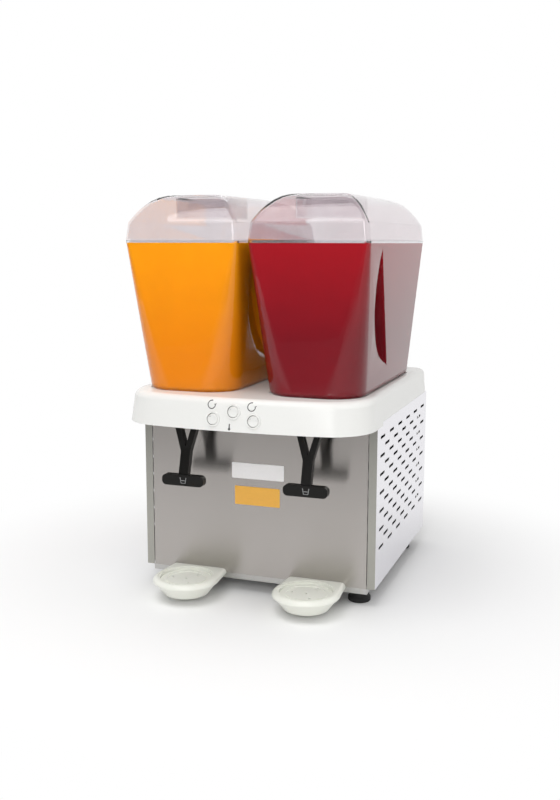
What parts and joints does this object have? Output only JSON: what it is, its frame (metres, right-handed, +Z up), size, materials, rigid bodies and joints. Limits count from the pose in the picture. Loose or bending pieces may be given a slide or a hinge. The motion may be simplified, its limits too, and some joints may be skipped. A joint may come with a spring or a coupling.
{
  "type": "juice dispenser",
  "caption": "Counter juice dispenser: clear bowls with vaulted lids on a white hood over a vented steel cabinet, with push taps and clip-on drip trays.",
  "frame": {"origin": "floor level, at the middle of the bounding box", "axes": "+X to the right seen from the front, +Y to the rear, +Z up"},
  "size_m": [0.406, 0.492, 0.649],
  "materials": {
    "steel_sheet": "brushed",
    "white_moulding": "gloss",
    "clear_moulding": "clear",
    "black_moulding": "satin",
    "black_rubber": "matt",
    "bone_moulding": "satin",
    "stainless": "polished",
    "black_enamel": "gloss",
    "fin_metal": "plain",
    "copper": "plain",
    "foam": "matt",
    "grey_moulding": "matt"
  },
  "bodies": {
    "cabinet": {"base_pan": "steel_sheet", "front_panel": "steel_sheet", "left_side_panel": "steel_sheet", "right_side_panel": "steel_sheet", "rear_panel": "steel_sheet", "feet": "black_rubber", "top_hood": "white_moulding", "deck_insulation": "foam", "switch_bezels": "white_moulding", "compressor": "black_enamel", "compressor_grommets": "black_rubber", "condenser": "fin_metal", "fan_shroud": "steel_sheet", "fan_motor": "black_enamel", "filter_drier": "copper", "thermostat": "grey_moulding", "cable_gland": "black_moulding", "left_evaporator": "stainless", "left_stirrer_motor": "grey_moulding", "left_tap_body": "bone_moulding", "left_tap_cap": "bone_moulding", "left_tap_spring": "stainless", "left_lever_pin": "stainless", "right_evaporator": "stainless", "right_stirrer_motor": "grey_moulding", "right_tap_body": "bone_moulding", "right_tap_cap": "bone_moulding", "right_tap_spring": "stainless", "right_lever_pin": "stainless"},
    "left_bowl_unit": {"left_bowl": "clear_moulding", "left_bowl_gasket": "black_rubber", "left_outlet_seal": "black_rubber"},
    "left_lid_unit": {"left_lid": "clear_moulding"},
    "left_drive": {"left_drive_magnet": "black_moulding"},
    "left_stirrer": {"left_impeller": "white_moulding"},
    "left_lever": {"left_tap_lever": "black_moulding"},
    "left_valve": {"left_tap_plunger": "white_moulding", "left_plunger_seal": "black_rubber"},
    "left_tray": {"left_drip_tray": "bone_moulding"},
    "left_grid": {"left_drip_grid": "bone_moulding"},
    "right_bowl_unit": {"right_bowl": "clear_moulding", "right_bowl_gasket": "black_rubber", "right_outlet_seal": "black_rubber"},
    "right_lid_unit": {"right_lid": "clear_moulding"},
    "right_drive": {"right_drive_magnet": "black_moulding"},
    "right_stirrer": {"right_impeller": "white_moulding"},
    "right_lever": {"right_tap_lever": "black_moulding"},
    "right_valve": {"right_tap_plunger": "white_moulding", "right_plunger_seal": "black_rubber"},
    "right_tray": {"right_drip_tray": "bone_moulding"},
    "right_grid": {"right_drip_grid": "bone_moulding"},
    "left_key": {"left_stirrer_switch": "white_moulding"},
    "cooling_key": {"cooling_switch": "white_moulding"},
    "right_key": {"right_stirrer_switch": "white_moulding"},
    "fan": {"fan_blade": "fin_metal"},
    "thermostat_shaft": {"thermostat_spindle": "white_moulding"}
  },
  "joints": [
    {"name": "left_bowl_lift", "type": "slide", "parent": "cabinet", "child": "left_bowl_unit", "axis": [0, 0, 1], "range_m": [0, 0.12]},
    {"name": "left_lid_lift", "type": "slide", "parent": "left_bowl_unit", "child": "left_lid_unit", "axis": [0, 0, 1], "range_m": [0, 0.12]},
    {"name": "left_drive_spin", "type": "hinge", "parent": "cabinet", "child": "left_drive", "pos_m": [-0.103, -0.005, 0.39], "axis": [0, 0, 1], "continuous": true},
    {"name": "left_stirrer_spin", "type": "hinge", "parent": "cabinet", "child": "left_stirrer", "pos_m": [-0.103, -0.005, 0.4], "axis": [0, 0, 1], "continuous": true},
    {"name": "left_lever_swing", "type": "hinge", "parent": "cabinet", "child": "left_lever", "pos_m": [-0.103, -0.18, 0.299], "axis": [1, 0, 0], "range_deg": [0, 15], "stiffness_Nm_per_rad": 0.3, "springref_deg": -14.9},
    {"name": "left_plunger_slide", "type": "slide", "parent": "cabinet", "child": "left_valve", "axis": [0, -1, 0], "range_m": [0, 0.006], "deforming": ["left_tap_spring"]},
    {"name": "left_tray_lift", "type": "slide", "parent": "cabinet", "child": "left_tray", "axis": [0, 0, 1], "range_m": [0, 0.002]},
    {"name": "left_grid_lift", "type": "slide", "parent": "left_tray", "child": "left_grid", "axis": [0, 0, 1], "range_m": [0, 0.04]},
    {"name": "right_bowl_lift", "type": "slide", "parent": "cabinet", "child": "right_bowl_unit", "axis": [0, 0, 1], "range_m": [0, 0.12]},
    {"name": "right_lid_lift", "type": "slide", "parent": "right_bowl_unit", "child": "right_lid_unit", "axis": [0, 0, 1], "range_m": [0, 0.12]},
    {"name": "right_drive_spin", "type": "hinge", "parent": "cabinet", "child": "right_drive", "pos_m": [0.103, -0.005, 0.39], "axis": [0, 0, 1], "continuous": true},
    {"name": "right_stirrer_spin", "type": "hinge", "parent": "cabinet", "child": "right_stirrer", "pos_m": [0.103, -0.005, 0.4], "axis": [0, 0, 1], "continuous": true},
    {"name": "right_lever_swing", "type": "hinge", "parent": "cabinet", "child": "right_lever", "pos_m": [0.103, -0.18, 0.299], "axis": [1, 0, 0], "range_deg": [0, 15], "stiffness_Nm_per_rad": 0.3, "springref_deg": -14.9},
    {"name": "right_plunger_slide", "type": "slide", "parent": "cabinet", "child": "right_valve", "axis": [0, -1, 0], "range_m": [0, 0.006], "deforming": ["right_tap_spring"]},
    {"name": "right_tray_lift", "type": "slide", "parent": "cabinet", "child": "right_tray", "axis": [0, 0, 1], "range_m": [0, 0.002]},
    {"name": "right_grid_lift", "type": "slide", "parent": "right_tray", "child": "right_grid", "axis": [0, 0, 1], "range_m": [0, 0.04]},
    {"name": "left_key_tilt", "type": "hinge", "parent": "cabinet", "child": "left_key", "pos_m": [-0.03291, -0.23635, 0.30946], "axis": [0.9995, -0.0313, 0], "range_deg": [-16, 0]},
    {"name": "cooling_key_tilt", "type": "hinge", "parent": "cabinet", "child": "cooling_key", "pos_m": [0, -0.23459, 0.32196], "axis": [1, 0, 0], "range_deg": [-16, 0]},
    {"name": "right_key_tilt", "type": "hinge", "parent": "cabinet", "child": "right_key", "pos_m": [0.03291, -0.23635, 0.30946], "axis": [0.9995, 0.0313, 0], "range_deg": [-16, 0]},
    {"name": "fan_spin", "type": "hinge", "parent": "cabinet", "child": "fan", "pos_m": [0.106, 0.093, 0.134], "axis": [1, 0, 0], "continuous": true},
    {"name": "thermostat_turn", "type": "hinge", "parent": "cabinet", "child": "thermostat_shaft", "pos_m": [-0.14, 0.239, 0.2325], "axis": [0, 1, 0], "range_deg": [0, 270]}
  ],
  "couplings": [
    {"joint": "left_stirrer_spin", "follows": "left_drive_spin", "ratio": 1},
    {"joint": "left_plunger_slide", "follows": "left_lever_swing", "m_per_rad": 0.0218},
    {"joint": "right_stirrer_spin", "follows": "right_drive_spin", "ratio": 1},
    {"joint": "right_plunger_slide", "follows": "right_lever_swing", "m_per_rad": 0.0218}
  ]
}
